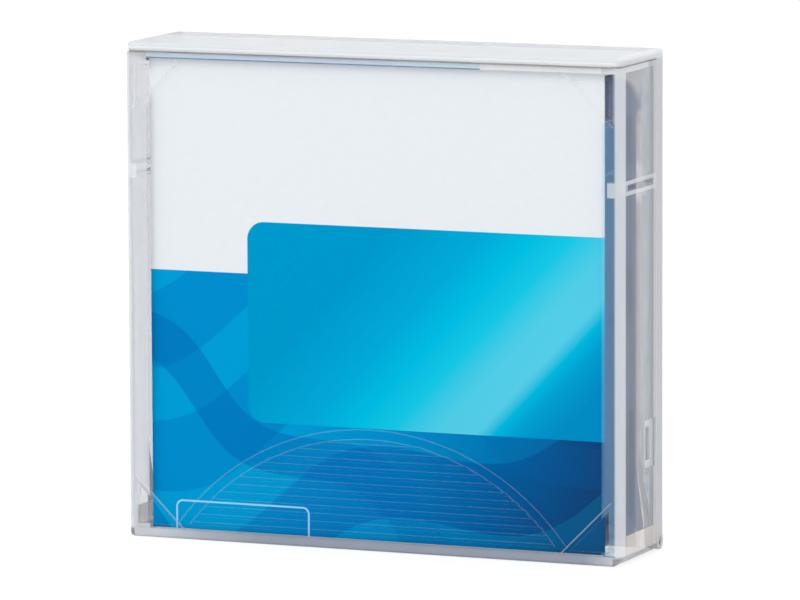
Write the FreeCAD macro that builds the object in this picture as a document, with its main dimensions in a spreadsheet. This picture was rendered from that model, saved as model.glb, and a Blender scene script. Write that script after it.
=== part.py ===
import FreeCAD, Part
import math
import os
import re
import Sketcher

# Half-inch data tape cartridge standing in its hinged library case.
# Frame: X to the right, Y from the front of the case to its back, Z up.
# The origin is the centre of the closed case's footprint.
# Lengths are millimetres. Every size is a cell of the sheet, written once here.
SIZES = {
    # library case
    "case_width": 115.0,        # along X
    "case_height": 108.6,       # along Z
    "case_depth": 27.0,         # along Y
    "front_wall": 1.6,
    "side_wall": 1.5,
    "floor_wall": 1.5,
    "back_wall": 1.5,
    "top_wall": 1.8,
    "parting": 0.3,             # gap between the two halves
    "corner_round": 1.6,        # front half's outer corners
    "rim_round": 0.7,           # back half's outer edges
    "lip_round": 2.4,           # front corners of the top plate
    "rim_reach": 4.2,           # depth of the back half's outer rim
    "liner_wall": 1.3,          # inner side wall of the back half
    "liner_reach": 8.9,         # its front edge, from the case's back
    "liner_round": 6.5,         # its corner under the top plate
    "slant_top": 20.6,          # height where the liner's foot starts to slant back
    "slant_foot": 5.5,          # height where it ends
    "hinge_set": 1.8,           # hinge line from the case's back and from its underside
    "pin_radius": 1.0,
    "pin_slack": 0.05,          # radial clearance of the hinge pins
    "ear_wall": 1.6,
    "ear_slack": 0.1,           # ear and arm, from the underside
    "arm_slack": 0.2,           # arm, from the cartridge
    "ledge_height": 7.0,        # side ledges that centre the cartridge
    "ledge_gap": 0.3,
    "foot_height": 1.0,         # floor ribs under the cartridge
    "foot_width": 1.2,
    "foot_pitch": 22.0,
    "foot_count": 5,
    "foot_inset": 1.0,
    "overcut": 1.0,             # how far an open cut runs past the wall
    # channel rib on each side wall
    "rib_drop": 28.0,           # its middle, below the case's top
    "rib_height": 3.2,
    "rib_reach": 1.9,
    "rib_wall": 0.9,
    "rib_draft": 0.25,
    "notch_slack": 0.6,
    "notch_flare": 2.3,
    "foot_clear": 0.6,          # liner's foot, behind the floor's rear edge
    # framed slot in each side wall
    "frame_level": 24.0,
    "frame_height": 10.6,
    "frame_width": 6.4,
    "frame_set": 0.5,
    "frame_back": 5.0,          # its rear edge, from the case's back
    "slot_height": 7.3,
    "slot_width": 2.8,
    # grip arch on the front panel
    "arch_top": 26.5,
    "arch_radius": 56.6,
    "arch_foot": 3.2,
    "arch_set": 0.35,
    "groove_count": 11,
    "groove_pitch": 1.75,
    "groove_width": 0.8,
    "groove_set": 0.35,
    # corner tabs that hold the card
    "tab_leg": 11.0,
    "tab_wall": 0.5,
    "window_leg": 9.0,
    # printed card
    "card_margin": 9.1,         # the case's width less the card's
    "card_trim": 5.5,           # the case's height less the card's
    "card_thick": 0.35,
    "card_lift": 0.5,
    "card_shift": 0.65,
    "card_gap": 0.1,
    "flap_reach": 15.0,
    # cartridge shells
    "cart_margin": 9.6,         # the case's width less the cartridge's
    "cart_trim": 6.6,           # the case's height less the cartridge's
    "cart_room": 5.5,           # the case's depth less the cartridge's
    "cart_set": 2.8,            # front face of the cartridge, from the case's front
    "cart_corner": 2.6,
    "cart_edge": 1.3,
    "shell_wall": 1.6,
    "shell_side": 1.9,
    "grip_height": 11.2,        # side recesses for a robot's gripper
    "grip_width": 13.0,
    "grip_set": 0.7,
    "grip_low": 28.7,           # below the reel's axis
    "grip_mid": 3.5,            # above it
    "grip_high": 35.5,          # above it
    "opening_radius": 17.0,     # drive opening in the lower shell
    "opening_rim": 1.2,
    # screws
    "screw_inset": 6.2,
    "boss_radius": 3.0,
    "screw_radius": 1.1,
    "screw_head": 2.2,
    "head_height": 1.4,
    "head_sink": 0.6,
    "screw_length": 14.0,
    "screw_slack": 0.05,
    "sink_slack": 0.15,
    # access door
    "door_wall": 1.1,
    "door_slack": 0.3,
    "door_skin": 1.0,           # shell wall left outside the door's channel
    "door_low": 4.0,            # lower end of the door, above the cartridge's lower end
    "door_length": 25.7,
    "door_lap": 1.4,
    "door_sill": 0.8,           # wall left above and below the door's opening
    "door_travel": 21.0,
    "rail_wall": 0.9,
    "rail_height": 1.6,
    "ridge_count": 4,
    "ridge_pitch": 2.0,
    "ridge_width": 0.8,
    "ridge_height": 0.2,
    "catch_reach": 2.1,         # tab that the spring pushes on
    "catch_height": 1.5,
    "catch_width": 3.0,
    # door spring
    "coil_radius": 2.4,
    "coil_wire": 0.3,
    "coil_pitch": 1.1,
    "coil_turns": 3,
    "coil_level": 8.1,          # above the cartridge's lower end
    "coil_inset": 19.7,         # from the cartridge's side
    "post_radius": 1.7,
    "post_height": 12.8,
    # leader pin
    "leader_level": 15.0,
    "leader_inset": 7.2,
    "leader_radius": 1.3,
    "leader_flange": 2.3,
    "flange_height": 1.0,
    "clamp_wall": 0.7,
    "cradle_wall": 1.0,
    "cradle_height": 2.2,
    "mouth_reach": 1.38,        # mouth of the cradle, past the pin's flange
    "clip_wall": 0.4,
    "clip_length": 9.0,
    "clip_width": 2.0,
    "leader_gap": 0.2,
    # write-protect slide
    "protect_inset": 14.0,
    "protect_length": 6.0,
    "protect_height": 5.0,
    "protect_wall": 1.4,
    "protect_travel": 4.5,
    "protect_slack": 0.2,
    "protect_grooves": 3,
    "protect_groove": 0.6,
    # memory chip
    "chip_side": 10.0,
    "chip_wall": 1.2,
    "chip_depth": 10.0,
    "chip_inset": 11.6,
    # reel
    "hub_radius": 22.0,
    "hub_wall": 2.4,
    "web_wall": 1.5,
    "reel_gap": 2.6,            # from the reel's rim to the cartridge's edge
    "flange_wall": 1.2,
    "reel_float": 1.0,          # from the lower shell to the reel's flange
    "reel_head": 2.25,          # from the upper shell to the reel
    "pack_inset": 1.6,          # from the flanges' rims to the pack
    "pack_slack": 0.05,
    "drum_radius": 16.5,        # ring of drive teeth
    "drum_bore": 12.6,
    "drum_reach": 3.0,
    "drum_teeth": 36,
    "tooth_width": 1.1,
    "tooth_height": 1.0,
    "plate_bore": 4.5,
    "plate_wall": 1.0,
    "foot_radius": 1.5,
    "foot_circle": 14.5,
    "foot_slack": 0.2,
    "feet": 3,
    # brake
    "brake_teeth": 36,
    "brake_radius": 19.0,
    "brake_bore": 16.4,
    "brake_crest": 0.8,
    "brake_mesh": 0.5,
    "brake_disc": 1.5,
    "brake_travel": 2.0,
    "release_wall": 1.0,
    "release_gap": 0.4,
    "release_radius": 15.6,
    "arm_flare": 1.0,
    "boss_outer": 5.5,
    "boss_gap": 4.6,            # from the upper shell to the brake's boss
    "socket_depth": 0.4,        # how far the key's socket goes into the disc
    "key_side": 5.0,
    "key_slack": 0.2,
    "key_gap": 2.4,
    "seat_radius": 9.6,
    "seat_wall": 1.0,
    "seat_height": 1.2,
    "spring_radius": 7.6,
    "spring_wire": 0.45,
    "spring_turns": 3,
    "tape_strip": 0.3,
}

# Sizes that follow from the ones above, as formulas of the same sheet.
FOLLOWING = {
    "card_width": "case_width - card_margin",
    "card_height": "case_height - card_trim",
    "rib_level": "case_height - rib_drop",
    "cart_width": "case_width - cart_margin",
    "cart_length": "case_height - cart_trim",
    "cart_thick": "case_depth - cart_room",
    "flange_radius": "min(cart_width; cart_length) / 2 - reel_gap",
    "pack_radius": "flange_radius - pack_inset",
    "tape_width": "cart_thick - 2 * (shell_wall + flange_wall) - reel_float - reel_head",
}

doc = FreeCAD.newDocument("tape_cartridge")
sheet = doc.addObject("Spreadsheet::Sheet", "sizes")
CELLS = {**SIZES, **{alias: "=" + formula for alias, formula in FOLLOWING.items()}}
for row, (alias, size) in enumerate(CELLS.items(), start=1):
    sheet.set(f"A{row}", alias)
    sheet.set(f"B{row}", str(size))
    sheet.setAlias(f"B{row}", alias)
doc.recompute()

# Places worked out from the sizes, as expressions of the sheet.
SIDE = "(case_width / 2)"
FRONT = "(-case_depth / 2)"
BACK = "(case_depth / 2)"
SIDE_IN = f"({SIDE} - side_wall)"
PANEL_IN = f"({FRONT} + front_wall)"
RIM_FRONT = f"({BACK} - rim_reach)"
TRAY_BACK = f"({RIM_FRONT} - parting)"
TRAY_TOP = "(case_height - top_wall - parting)"
PLATE_LOW = "(case_height - top_wall)"
BACK_IN = f"({BACK} - back_wall)"
LINER_OUT = f"({SIDE_IN} - parting)"
LINER_IN = f"({LINER_OUT} - liner_wall)"
LINER_FRONT = f"({BACK} - liner_reach)"
PIVOT_Y = f"({BACK} - hinge_set)"
PIVOT_Z = "(hinge_set)"
FLOOR_BACK = f"({PIVOT_Y} - hinge_set - parting)"
EAR_OUT = f"({LINER_IN} - parting)"
EAR_IN = f"({EAR_OUT} - ear_wall)"
EAR_RADIUS = "(hinge_set - ear_slack)"
CARD_FRONT = f"({PANEL_IN} + card_gap)"
CARD_LOW = "(floor_wall + card_lift)"
CARD_TOP = f"({CARD_LOW} + card_height)"
TAB_FRONT = f"({CARD_FRONT} + card_thick + card_gap)"
TAB_TOP = f"({CARD_TOP} - card_thick - parting)"
CART_SIDE = "(cart_width / 2)"
CART_FRONT = f"({FRONT} + cart_set)"
CART_BACK = f"({CART_FRONT} + cart_thick)"
CART_LOW = "(floor_wall + foot_height)"
CART_TOP = f"({CART_LOW} + cart_length)"
CART_MID = f"({CART_LOW} + cart_length / 2)"
SPLIT = f"({CART_FRONT} + cart_thick / 2)"
ROOF_IN = f"({CART_FRONT} + shell_wall)"
BASE_IN = f"({CART_BACK} - shell_wall)"
DOOR_OUT = f"({CART_SIDE} - door_skin - door_slack)"
DOOR_IN = f"({DOOR_OUT} - door_wall)"
DOOR_LOW = f"({CART_LOW} + door_low)"
DOOR_TOP = f"({DOOR_LOW} + door_length)"
LEADER_X = f"({CART_SIDE} - leader_inset)"
LEADER_Z = f"({CART_LOW} + leader_level)"
COIL_X = f"({CART_SIDE} - coil_inset)"
COIL_Z = f"({CART_LOW} + coil_level)"
CATCH_TOP = f"({COIL_Z} + coil_radius - coil_wire)"
PROTECT_LEFT = f"(protect_inset - {CART_SIDE})"
FLANGE_BACK = f"({BASE_IN} - reel_float)"
TAPE_BACK = f"({FLANGE_BACK} - flange_wall)"
TAPE_FRONT = f"({TAPE_BACK} - tape_width)"
FLANGE_FRONT = f"({TAPE_FRONT} - flange_wall)"
HUB_IN = "(hub_radius - hub_wall)"
WEB_FRONT = f"({TAPE_BACK} - web_wall)"
DRUM_BACK = f"({TAPE_BACK} + drum_reach)"
CREST = f"({WEB_FRONT} - brake_crest)"
RELEASE_BACK = f"({WEB_FRONT} - release_gap)"
RELEASE_FRONT = f"({RELEASE_BACK} - release_wall)"
BRAKE_BACK = f"({RELEASE_FRONT} - release_gap)"
BRAKE_FRONT = f"({BRAKE_BACK} - brake_disc)"
BOSS_FRONT = f"({ROOF_IN} + boss_gap)"
BOSS_REACH = f"({BRAKE_FRONT} - {BOSS_FRONT})"
KEY_BACK = f"({BRAKE_FRONT} + socket_depth - key_gap)"

GRIP_RISES = ("- grip_low", "+ grip_mid", "+ grip_high")
TOUCH = 1e-4        # edges closer than this lie at a place


def in_sheet(expression):
    """Point the names in an expression at the cells of the sheet."""
    return re.sub(r"\b[a-z_]{3,}\b", lambda name: name[0] if name[0] == "sqrt"
                  else "sizes." + name[0], expression)


def number(expression):
    return float(sheet.evalExpression(expression))


def tie(item, prop, expression):
    item.setExpression(prop, in_sheet(expression))


def spot(across, up):
    return FreeCAD.Vector(number(across), number(up), 0)


def new_body(name):
    body = doc.addObject("PartDesign::Body", name)
    body.Label = name
    return body


def on_axis(body, depth="0"):
    """Lay a body drawn round its own Z along Y, on the reel's centre line."""
    body.Placement.Rotation = FreeCAD.Rotation(FreeCAD.Vector(1, 0, 0), -90)
    tie(body, "Placement.Base.y", depth)
    tie(body, "Placement.Base.z", CART_MID)


def plane_of(body, role):
    return next(item for item in body.Origin.OriginFeatures if item.Role == role)


def sketch_on(body, name, role, shift="0"):
    sketch = body.newObject("Sketcher::SketchObject", name)
    sketch.AttachmentSupport = (plane_of(body, role), [""])
    sketch.MapMode = "FlatFace"
    tie(sketch, "AttachmentOffset.Base.z", shift)
    return sketch


def hold(sketch, geometry, point, across, up):
    """Pin one point of a sketch to a place given by two expressions."""
    for kind, size in (("DistanceX", across), ("DistanceY", up)):
        index = sketch.addConstraint(
            Sketcher.Constraint(kind, -1, 1, geometry, point, number(size)))
        tie(sketch, f"Constraints[{index}]", size)


def polygon(sketch, corners):
    """Add a closed outline of straight sides through the corners."""
    first = sketch.GeometryCount
    spots = [spot(*corner) for corner in corners]
    for start, end in zip(spots, spots[1:] + spots[:1]):
        sketch.addGeometry(Part.LineSegment(start, end), False)
    for index, corner in enumerate(corners):
        before = first + (index - 1) % len(corners)
        sketch.addConstraint(Sketcher.Constraint("Coincident", before, 2, first + index, 1))
        hold(sketch, first + index, 1, *corner)


def rectangle(sketch, left, right, low, high):
    polygon(sketch, [(left, low), (right, low), (right, high), (left, high)])


def circle(sketch, across, up, radius):
    ring = Part.Circle(spot(across, up), FreeCAD.Vector(0, 0, 1), number(radius))
    index = sketch.addGeometry(ring, False)
    hold(sketch, index, 3, across, up)
    fixed = sketch.addConstraint(Sketcher.Constraint("Radius", index, number(radius)))
    tie(sketch, f"Constraints[{fixed}]", radius)


def dome(sketch, up, radius, middle):
    """Add a closed circular segment: an arc over a level chord at height up."""
    half = f"sqrt({radius} ^ 2 - ({up} - {middle}) ^ 2)"
    top = FreeCAD.Vector(0, number(middle) + number(radius), 0)
    left, right = spot(f"-{half}", up), spot(half, up)
    arc = sketch.addGeometry(Part.Arc(right, top, left), False)
    line = sketch.addGeometry(Part.LineSegment(left, right), False)
    sketch.addConstraint(Sketcher.Constraint("Coincident", arc, 2, line, 1))
    sketch.addConstraint(Sketcher.Constraint("Coincident", line, 2, arc, 1))
    hold(sketch, line, 1, f"-{half}", up)
    hold(sketch, line, 2, half, up)
    fixed = sketch.addConstraint(Sketcher.Constraint("Radius", arc, number(radius)))
    tie(sketch, f"Constraints[{fixed}]", radius)


def extrude(body, kind, sketch, length, backward=False, both=False):
    feature = body.newObject(f"PartDesign::{kind}", f"{sketch.Name}_{kind.lower()}")
    feature.Profile = sketch
    tie(feature, "Length", length)
    feature.Reversed = backward
    if both:
        feature.SideType = "Symmetric"
    return feature


def pad(body, sketch, length, backward=False, both=False):
    """Add material: forward is along the plane's normal (XZ: towards -Y)."""
    feature = extrude(body, "Pad", sketch, length, backward, both)
    doc.recompute()
    return feature


def pocket(body, sketch, length, backward=False, both=False):
    """Take material away along -normal, or along the normal if backward."""
    before = body.Shape.Volume
    feature = extrude(body, "Pocket", sketch, length, backward, both)
    doc.recompute()
    if body.Shape.Volume > before - TOUCH:
        raise ValueError(f"{feature.Name} cuts nothing")
    return feature


def revolve(body, sketch):
    """Turn a profile drawn in the XZ plane round the body's own Z."""
    feature = body.newObject("PartDesign::Revolution", sketch.Name + "_turned")
    feature.Profile = sketch
    feature.ReferenceAxis = (sketch, ["V_Axis"])
    feature.Angle = 360
    doc.recompute()
    return feature


def mirrored(body, features, role="YZ_Plane"):
    feature = body.newObject("PartDesign::Mirrored", features[0].Name + "_mirrored")
    feature.Originals = features
    feature.MirrorPlane = (plane_of(body, role), [""])
    body.Tip = feature
    doc.recompute()
    return feature


def around(body, features, count):
    """Repeat features round the body's own Z."""
    axis = next(item for item in body.Origin.OriginFeatures if item.Role == "Z_Axis")
    feature = body.newObject("PartDesign::PolarPattern", features[0].Name + "_ring")
    feature.Originals = features
    feature.Axis = (axis, [""])
    feature.Angle = 360
    tie(feature, "Occurrences", count)
    body.Tip = feature
    doc.recompute()
    return feature


def dress(body, kind, size, chosen):
    """Fillet or chamfer the edges of the body's tip that the test picks."""
    base = body.Tip
    names = [f"Edge{index}" for index, edge in enumerate(base.Shape.Edges, start=1)
             if chosen(edge)]
    if not names:
        raise ValueError(f"{body.Name} has no edge to dress")
    feature = body.newObject(f"PartDesign::{kind}", f"{body.Name}_{kind.lower()}")
    feature.Base = (base, names)
    tie(feature, "Radius" if kind == "Fillet" else "Size", size)
    doc.recompute()
    return feature


def lies_at(edge, **places):
    """Tell whether every vertex of an edge has the given coordinates."""
    return all(abs(getattr(vertex, axis.upper()) - place) < TOUCH
               for vertex in edge.Vertexes for axis, place in places.items())


def runs_along(edge, axis):
    box = edge.BoundBox
    spans = {"x": box.XLength, "y": box.YLength, "z": box.ZLength}
    return spans.pop(axis) > TOUCH and max(spans.values()) < TOUCH


def front_tray(body):
    """Panel, side walls and floor, with ribs on the floor under the cartridge."""
    plan = sketch_on(body, "tray_plan", "XY_Plane")
    polygon(plan, [(f"-{SIDE}", TRAY_BACK), (f"-{SIDE}", FRONT), (SIDE, FRONT),
                   (SIDE, TRAY_BACK), (SIDE_IN, TRAY_BACK), (SIDE_IN, PANEL_IN),
                   (f"-{SIDE_IN}", PANEL_IN), (f"-{SIDE_IN}", TRAY_BACK)])
    pad(body, plan, TRAY_TOP)
    front, side = number(FRONT), number(SIDE)
    dress(body, "Fillet", "corner_round",
          lambda edge: (lies_at(edge, y=front) and runs_along(edge, "z"))
          or (lies_at(edge, z=0) and runs_along(edge, "y")
              and abs(abs(edge.Vertexes[0].X) - side) < TOUCH))
    floor = sketch_on(body, "floor_plan", "XY_Plane")
    rectangle(floor, f"-{SIDE_IN}", SIDE_IN, PANEL_IN, FLOOR_BACK)
    pad(body, floor, "floor_wall")
    feet = sketch_on(body, "floor_ribs", "XY_Plane", "floor_wall")
    for index in range(int(number("foot_count"))):
        middle = f"({index} - (foot_count - 1) / 2) * foot_pitch"
        rectangle(feet, f"{middle} - foot_width / 2", f"{middle} + foot_width / 2",
                  f"{CART_FRONT} + foot_inset", f"{FLOOR_BACK} - foot_inset")
    pad(body, feet, "foot_height")


def grip_arch(body):
    """Sunk thumb grip at the panel's foot: a dome crossed by level grooves."""
    arch = sketch_on(body, "grip_arch", "XZ_Plane", f"-{FRONT}")
    dome(arch, "arch_foot", "arch_radius", "(arch_top - arch_radius)")
    pocket(body, arch, "arch_set")
    grooves = sketch_on(body, "grip_grooves", "XZ_Plane", f"-{FRONT}")
    for index in range(int(number("groove_count"))):
        low = f"(arch_foot + {index + 1} * groove_pitch)"
        high = f"({low} + groove_width)"
        drop = f"({high} - arch_top + arch_radius)"
        half = f"(sqrt(arch_radius ^ 2 - {drop} ^ 2) - 2 * groove_width)"
        rectangle(grooves, f"-{half}", half, low, high)
    pocket(body, grooves, "arch_set + groove_set")


def card_corners(body):
    """Triangular tabs over the card's corners, under windows in the panel."""
    windows = sketch_on(body, "corner_windows", "XZ_Plane", f"-{FRONT}")
    tabs = sketch_on(body, "corner_tabs", "XZ_Plane", f"-{TAB_FRONT}")
    edge = f"({SIDE_IN} - groove_width)"
    for level, way, other in ((TAB_TOP, "-", "+"), (CARD_LOW, "+", "-")):
        start = f"({level} {way} groove_width)"
        polygon(windows, [(edge, start), (f"{edge} - window_leg", start),
                          (edge, f"{start} {way} window_leg")])
        polygon(tabs, [(SIDE_IN, level), (f"{SIDE_IN} - tab_leg", level),
                       (SIDE_IN, f"{level} {way} tab_leg")])
    return [pocket(body, windows, "front_wall"), pad(body, tabs, "tab_wall", backward=True)]


def side_ribs(body):
    """Ledge that centres the cartridge, and the hollow rib along the side wall."""
    ledge = sketch_on(body, "side_ledge", "XY_Plane")
    rectangle(ledge, f"{CART_SIDE} + ledge_gap", SIDE_IN, TAB_FRONT, f"{TRAY_BACK} - parting")
    rib = sketch_on(body, "side_rib", "XZ_Plane", f"-{PANEL_IN}")
    low = "(rib_level - rib_height / 2)"
    high = "(rib_level + rib_height / 2)"
    polygon(rib, [(SIDE_IN, low), (SIDE_IN, high),
                  (f"{SIDE_IN} - rib_reach", f"{high} - rib_draft"),
                  (f"{SIDE_IN} - rib_reach", f"{low} + rib_draft")])
    hollow = sketch_on(body, "rib_hollow", "YZ_Plane", SIDE)
    rectangle(hollow, f"{PANEL_IN} + 4 * rib_wall", f"{TRAY_BACK} - 2 * rib_wall",
              f"{low} + rib_wall", f"{high} - rib_wall")
    return [pad(body, ledge, "ledge_height"),
            pad(body, rib, f"{TRAY_BACK} - {PANEL_IN}", backward=True),
            pocket(body, hollow, "side_wall + rib_reach - rib_wall")]


def framed_slot(body):
    """Slot through the side wall in a shallow sunk frame."""
    frame = sketch_on(body, "slot_frame", "YZ_Plane", SIDE)
    middle = f"({BACK} - frame_back - frame_width / 2)"
    rectangle(frame, f"{middle} - frame_width / 2", f"{middle} + frame_width / 2",
              "frame_level - frame_height / 2", "frame_level + frame_height / 2")
    slot = sketch_on(body, "slot_window", "YZ_Plane", SIDE)
    rectangle(slot, f"{middle} - slot_width / 2", f"{middle} + slot_width / 2",
              "frame_level - slot_height / 2", "frame_level + slot_height / 2")
    return [pocket(body, frame, "frame_set"), pocket(body, slot, "side_wall")]


def hinge_arm(body):
    """Arm behind the floor with a round ear, whose pin enters the back half."""
    arm = sketch_on(body, "hinge_arm", "YZ_Plane", EAR_IN)
    rectangle(arm, f"{FLOOR_BACK} - 2 * ear_wall", PIVOT_Y, "ear_slack",
              f"{CART_LOW} - arm_slack")
    ear = sketch_on(body, "hinge_ear", "YZ_Plane", EAR_IN)
    circle(ear, PIVOT_Y, PIVOT_Z, EAR_RADIUS)
    pin = sketch_on(body, "hinge_pin", "YZ_Plane", EAR_OUT)
    circle(pin, PIVOT_Y, PIVOT_Z, "pin_radius")
    return [pad(body, arm, "ear_wall"), pad(body, ear, "ear_wall"),
            pad(body, pin, f"{SIDE} - {EAR_OUT} - parting")]


def case_front():
    """Clear front half of the case."""
    body = new_body("case_front")
    front_tray(body)
    grip_arch(body)
    mirrored(body, card_corners(body) + side_ribs(body) + framed_slot(body) + hinge_arm(body))
    return body


def back_tray(body):
    """Back panel, top plate, outer rim, inner side walls and the hinge's barrel."""
    profile = sketch_on(body, "back_profile", "YZ_Plane")
    polygon(profile, [(FRONT, PLATE_LOW), (BACK_IN, PLATE_LOW), (BACK_IN, PIVOT_Z),
                      (BACK, PIVOT_Z), (BACK, "case_height"), (FRONT, "case_height")])
    pad(body, profile, "case_width", both=True)
    walls = sketch_on(body, "rim_plan", "XY_Plane", PIVOT_Z)
    shoulder = f"({RIM_FRONT} + back_wall)"
    for sign in ("", "-"):
        polygon(walls, [(f"{sign}{SIDE}", RIM_FRONT), (f"{sign}{SIDE}", BACK_IN),
                        (f"{sign}{SIDE_IN}", BACK_IN), (f"{sign}{SIDE_IN}", shoulder),
                        (f"{sign}{LINER_IN}", shoulder), (f"{sign}{LINER_IN}", LINER_FRONT),
                        (f"{sign}{LINER_OUT}", LINER_FRONT), (f"{sign}{LINER_OUT}", RIM_FRONT)])
    pad(body, walls, f"{PLATE_LOW} - {PIVOT_Z}")
    side, back, top, front = number(SIDE), number(BACK), number("case_height"), number(FRONT)
    dress(body, "Fillet", "lip_round", lambda edge: lies_at(edge, y=front) and runs_along(edge, "z"))
    dress(body, "Fillet", "rim_round",
          lambda edge: (lies_at(edge, y=back) and runs_along(edge, "z")
                        and abs(abs(edge.Vertexes[0].X) - side) < TOUCH)
          or (lies_at(edge, z=top) and runs_along(edge, "y"))
          or (lies_at(edge, z=top, y=back) and runs_along(edge, "x")))
    barrel = sketch_on(body, "hinge_barrel", "YZ_Plane")
    circle(barrel, PIVOT_Y, PIVOT_Z, "hinge_set")
    pad(body, barrel, f"2 * ({EAR_IN} - parting)", both=True)


def liner_outline(body):
    """Round corner, slanting foot and rib notch of one inner side wall."""
    corner = sketch_on(body, "liner_corner", "YZ_Plane", LINER_IN)
    rectangle(corner, f"{LINER_FRONT} - liner_round", LINER_FRONT,
              f"{PLATE_LOW} - liner_round", PLATE_LOW)
    scoop = sketch_on(body, "liner_scoop", "YZ_Plane", LINER_OUT)
    circle(scoop, f"{LINER_FRONT} - liner_round", f"{PLATE_LOW} - liner_round", "liner_round")
    foot = sketch_on(body, "liner_foot", "YZ_Plane", SIDE_IN)
    foot_front = f"({LINER_FRONT} - overcut)"
    foot_back = f"({PIVOT_Y} - hinge_set + foot_clear)"
    polygon(foot, [(foot_front, "0"), (foot_back, "0"), (foot_back, "slant_foot"),
                   (LINER_FRONT, "slant_top"), (foot_front, "slant_top")])
    notch = sketch_on(body, "rib_notch", "YZ_Plane", SIDE_IN)
    half = "(rib_height / 2 + notch_slack)"
    throat = f"({LINER_FRONT} + notch_flare)"
    polygon(notch, [(LINER_FRONT, f"rib_level - {half} - notch_flare"),
                    (throat, f"rib_level - {half}"), (RIM_FRONT, f"rib_level - {half}"),
                    (RIM_FRONT, f"rib_level + {half}"), (throat, f"rib_level + {half}"),
                    (LINER_FRONT, f"rib_level + {half} + notch_flare")])
    return [pad(body, corner, "liner_wall"), pocket(body, scoop, "liner_wall"),
            pocket(body, foot, f"{SIDE_IN} - {LINER_IN}"),
            pocket(body, notch, f"{SIDE_IN} - {LINER_IN}")]


def hinge_knuckle(body):
    """Bored knuckle at the foot of the back half, and room for the front's ear."""
    width = f"{SIDE} - {LINER_IN}"
    block = sketch_on(body, "knuckle_block", "YZ_Plane", LINER_IN)
    rectangle(block, f"{PIVOT_Y} - hinge_set", BACK_IN, PIVOT_Z, "slant_foot")
    knuckle = sketch_on(body, "knuckle", "YZ_Plane", LINER_IN)
    circle(knuckle, PIVOT_Y, PIVOT_Z, "hinge_set")
    bore = sketch_on(body, "knuckle_bore", "YZ_Plane", SIDE)
    circle(bore, PIVOT_Y, PIVOT_Z, "pin_radius + pin_slack")
    gap = sketch_on(body, "ear_gap", "XZ_Plane", f"-{BACK}")
    rectangle(gap, f"{EAR_IN} - parting", LINER_IN, "-overcut",
              f"{PIVOT_Z} + {EAR_RADIUS} + parting")
    return [pad(body, block, width), pad(body, knuckle, width), pocket(body, bore, width),
            pocket(body, gap, "rim_reach", backward=True)]


def case_back():
    """Frosted back half of the case."""
    body = new_body("case_back")
    back_tray(body)
    mirrored(body, liner_outline(body) + hinge_knuckle(body))
    return body


def insert_card():
    """Printed card: a front sheet with a flap folded back under the top plate."""
    body = new_body("insert_card")
    profile = sketch_on(body, "card_profile", "YZ_Plane")
    inner = f"({CARD_FRONT} + card_thick)"
    under = f"({CARD_TOP} - card_thick)"
    tip = f"({CARD_FRONT} + flap_reach)"
    polygon(profile, [(CARD_FRONT, CARD_LOW), (inner, CARD_LOW), (inner, under), (tip, under),
                      (tip, CARD_TOP), (CARD_FRONT, CARD_TOP)])
    pad(body, profile, "card_width", both=True)
    tie(body, "Placement.Base.x", "card_shift")
    return body


def shell_blank(name, outer, toward_back):
    """Half shell of the cartridge: a plate with walls up to the parting plane."""
    body = new_body(name)
    outline = sketch_on(body, name + "_outline", "XZ_Plane", f"-{outer}")
    rectangle(outline, f"-{CART_SIDE}", CART_SIDE, CART_LOW, CART_TOP)
    pad(body, outline, "cart_thick / 2", backward=toward_back)
    dress(body, "Fillet", "cart_corner", lambda edge: runs_along(edge, "y"))
    face = number(outer)
    dress(body, "Chamfer", "cart_edge", lambda edge: lies_at(edge, y=face))
    inside = sketch_on(body, name + "_inside", "XZ_Plane", f"-{SPLIT}")
    rectangle(inside, f"shell_side - {CART_SIDE}", f"{CART_SIDE} - shell_side",
              f"{CART_LOW} + shell_side", f"{CART_TOP} - shell_side")
    pocket(body, inside, "cart_thick / 2 - shell_wall", backward=toward_back)
    return body


def screw_places():
    across = f"({CART_SIDE} - screw_inset)"
    low, high = f"({CART_LOW} + screw_inset)", f"({CART_TOP} - screw_inset)"
    return [(sign + across, level) for sign in ("", "-") for level in (low, high)]


def shell_openings(body, toward_back):
    """Cut what both half shells share, from the parting plane outwards."""
    name = body.Name
    deep = "(cart_thick / 2 - shell_wall)"
    grips = sketch_on(body, name + "_grips", "XZ_Plane", f"-{SPLIT}")
    low, middle, high = (f"({CART_MID} {rise})" for rise in GRIP_RISES)
    for sign, levels in (("", (middle, high)), ("-", (low, middle, high))):
        for level in levels:
            rectangle(grips, f"{sign}({CART_SIDE} - grip_set)", f"{sign}({CART_SIDE} + overcut)",
                      f"{level} - grip_height / 2", f"{level} + grip_height / 2")
    pocket(body, grips, "grip_width / 2", backward=toward_back)
    channel = sketch_on(body, name + "_channel", "XZ_Plane", f"-{SPLIT}")
    rectangle(channel, f"{CART_SIDE} - shell_side - overcut", f"{CART_SIDE} - door_skin",
              f"{DOOR_LOW} - door_slack", f"{DOOR_TOP} + door_travel + door_slack")
    pocket(body, channel, deep, backward=toward_back)
    door = sketch_on(body, name + "_doorway", "XZ_Plane", f"-{SPLIT}")
    rectangle(door, f"{CART_SIDE} - shell_side - overcut", f"{CART_SIDE} + overcut",
              f"{DOOR_LOW} + door_lap", f"{DOOR_TOP} - door_lap")
    pocket(body, door, f"{deep} - door_sill", backward=toward_back)
    window = sketch_on(body, name + "_protect", "XZ_Plane", f"-{SPLIT}")
    rectangle(window, f"{PROTECT_LEFT} - protect_slack",
              f"{PROTECT_LEFT} + protect_length + protect_travel + protect_slack",
              f"{CART_TOP} - shell_side - overcut", f"{CART_TOP} + overcut")
    pocket(body, window, "protect_height / 2 + protect_slack", backward=toward_back)


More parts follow.
